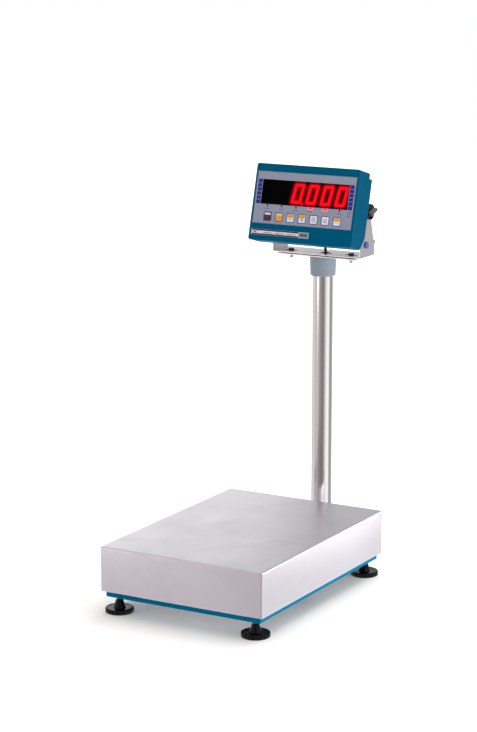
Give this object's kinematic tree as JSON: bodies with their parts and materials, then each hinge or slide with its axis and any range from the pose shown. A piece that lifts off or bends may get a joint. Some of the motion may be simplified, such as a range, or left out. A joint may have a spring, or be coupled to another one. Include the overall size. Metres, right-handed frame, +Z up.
{
  "type": "bench scale",
  "caption": "Bench scale with a flat stainless pan on a painted frame, levelling feet, a rear post and a tilting digital indicator with keypad.",
  "frame": {"origin": "centre of the bounding box at floor level", "axes": "+Z up, +Y to the rear where the post stands, +X to the right of a person facing the display"},
  "size_m": [0.321, 0.551, 0.7395],
  "materials": {
    "stainless_sheet": "brushed stainless sheet",
    "stainless_tube": "polished stainless tube",
    "zinc_steel": "zinc-plated steel fasteners",
    "dark_bolt": "blackened bolt heads",
    "teal_paint": "teal powder coat",
    "teal_housing": "teal blue enamel",
    "cell_aluminium": "milled aluminium",
    "black_plastic": "black moulded plastic",
    "collar_plastic": "blue-grey moulded plastic",
    "blue_plastic": "blue moulded plug",
    "black_rubber": "black rubber",
    "cable_jacket": "black cable jacket",
    "overlay_film": "grey printed film",
    "window_film": "dark display window",
    "digit_body": "dark digit module",
    "board_green": "circuit board",
    "label_silver": "bare silver label",
    "key_black": "black printed key",
    "key_amber": "amber printed key",
    "key_white": "white printed key"
  },
  "bodies": {
    "base": {"frame_rail_left": "teal_paint", "frame_rail_right": "teal_paint", "frame_rail_front": "teal_paint", "frame_rail_rear": "teal_paint", "frame_beam": "teal_paint", "foot_nuts": "zinc_steel", "load_cell_spacer": "zinc_steel", "load_cell": "cell_aluminium", "load_cell_bolts": "zinc_steel", "overload_stops": "zinc_steel", "post_bracket": "teal_paint", "post_bolts": "zinc_steel", "post": "stainless_tube", "post_flange": "stainless_tube", "post_grommet": "black_rubber", "collar": "collar_plastic", "post_top_plate": "stainless_sheet", "plate_screws": "zinc_steel", "yoke_spacers": "zinc_steel", "yoke": "stainless_sheet", "yoke_bolts": "dark_bolt", "yoke_plugs": "blue_plastic", "load_cell_cable": "cable_jacket"},
    "load_frame": {"load_frame_cross": "zinc_steel", "load_frame_bars": "zinc_steel", "load_spacer": "zinc_steel", "load_frame_bolts": "zinc_steel", "rubber_pads": "black_rubber"},
    "pan": {"pan": "stainless_sheet"},
    "indicator": {"front_shell": "teal_housing", "rear_cover": "teal_housing", "gasket": "black_rubber", "overlay": "overlay_film", "display_window": "window_film", "display_board": "board_green", "digit_modules": "digit_body", "main_board": "board_green", "cable_gland": "black_plastic", "power_inlet": "black_plastic", "cover_screws": "zinc_steel", "label_plate": "label_silver"},
    "foot_front_left": {"foot_pad_front_left": "black_plastic", "foot_stud_front_left": "zinc_steel"},
    "foot_front_right": {"foot_pad_front_right": "black_plastic", "foot_stud_front_right": "zinc_steel"},
    "foot_rear_left": {"foot_pad_rear_left": "black_plastic", "foot_stud_rear_left": "zinc_steel"},
    "foot_rear_right": {"foot_pad_rear_right": "black_plastic", "foot_stud_rear_right": "zinc_steel"},
    "clamp_knob_left": {"knob_left": "black_plastic", "knob_stud_left": "zinc_steel"},
    "clamp_knob_right": {"knob_right": "black_plastic", "knob_stud_right": "zinc_steel"},
    "key_1_body": {"key_1": "key_black"},
    "key_2_body": {"key_2": "key_amber"},
    "key_3_body": {"key_3": "key_amber"},
    "key_4_body": {"key_4": "key_white"},
    "key_5_body": {"key_5": "key_white"},
    "key_6_body": {"key_6": "key_white"},
    "key_7_body": {"key_7": "key_amber"}
  },
  "joints": [
    {"name": "foot_front_left_height", "type": "slide", "parent": "base", "child": "foot_front_left", "axis": [0, 0, 1], "range_m": [-0.01, 0.005]},
    {"name": "foot_front_right_height", "type": "slide", "parent": "base", "child": "foot_front_right", "axis": [0, 0, 1], "range_m": [-0.01, 0.005]},
    {"name": "foot_rear_left_height", "type": "slide", "parent": "base", "child": "foot_rear_left", "axis": [0, 0, 1], "range_m": [-0.01, 0.005]},
    {"name": "foot_rear_right_height", "type": "slide", "parent": "base", "child": "foot_rear_right", "axis": [0, 0, 1], "range_m": [-0.01, 0.005]},
    {"name": "load_cell_flex", "type": "slide", "parent": "base", "child": "load_frame", "axis": [0, 0, 1], "range_m": [-0.0005, 0], "stiffness_N_per_m": 1200000, "springref_m": 0.00006, "deforming": ["load_cell"]},
    {"name": "pan_lift", "type": "slide", "parent": "load_frame", "child": "pan", "axis": [0, 0, 1], "range_m": [0, 0.1]},
    {"name": "indicator_tilt", "type": "hinge", "parent": "base", "child": "indicator", "pos_m": [0, 0.2425, 0.6555], "axis": [-1, 0, 0], "range_deg": [-15, 30], "deforming": ["load_cell_cable"]},
    {"name": "knob_left_turn", "type": "hinge", "parent": "indicator", "child": "clamp_knob_left", "pos_m": [0, 0.2425, 0.6555], "axis": [1, 0, 0], "continuous": true},
    {"name": "knob_right_turn", "type": "hinge", "parent": "indicator", "child": "clamp_knob_right", "pos_m": [0, 0.2425, 0.6555], "axis": [1, 0, 0], "continuous": true},
    {"name": "key_1_press", "type": "slide", "parent": "indicator", "child": "key_1_body", "axis": [0, 0.9659, -0.2588], "range_m": [0, 0.0004], "stiffness_N_per_m": 4000, "springref_m": -0.0001},
    {"name": "key_2_press", "type": "slide", "parent": "indicator", "child": "key_2_body", "axis": [0, 0.9659, -0.2588], "range_m": [0, 0.0004], "stiffness_N_per_m": 4000, "springref_m": -0.0001},
    {"name": "key_3_press", "type": "slide", "parent": "indicator", "child": "key_3_body", "axis": [0, 0.9659, -0.2588], "range_m": [0, 0.0004], "stiffness_N_per_m": 4000, "springref_m": -0.0001},
    {"name": "key_4_press", "type": "slide", "parent": "indicator", "child": "key_4_body", "axis": [0, 0.9659, -0.2588], "range_m": [0, 0.0004], "stiffness_N_per_m": 4000, "springref_m": -0.0001},
    {"name": "key_5_press", "type": "slide", "parent": "indicator", "child": "key_5_body", "axis": [0, 0.9659, -0.2588], "range_m": [0, 0.0004], "stiffness_N_per_m": 4000, "springref_m": -0.0001},
    {"name": "key_6_press", "type": "slide", "parent": "indicator", "child": "key_6_body", "axis": [0, 0.9659, -0.2588], "range_m": [0, 0.0004], "stiffness_N_per_m": 4000, "springref_m": -0.0001},
    {"name": "key_7_press", "type": "slide", "parent": "indicator", "child": "key_7_body", "axis": [0, 0.9659, -0.2588], "range_m": [0, 0.0004], "stiffness_N_per_m": 4000, "springref_m": -0.0001}
  ]
}
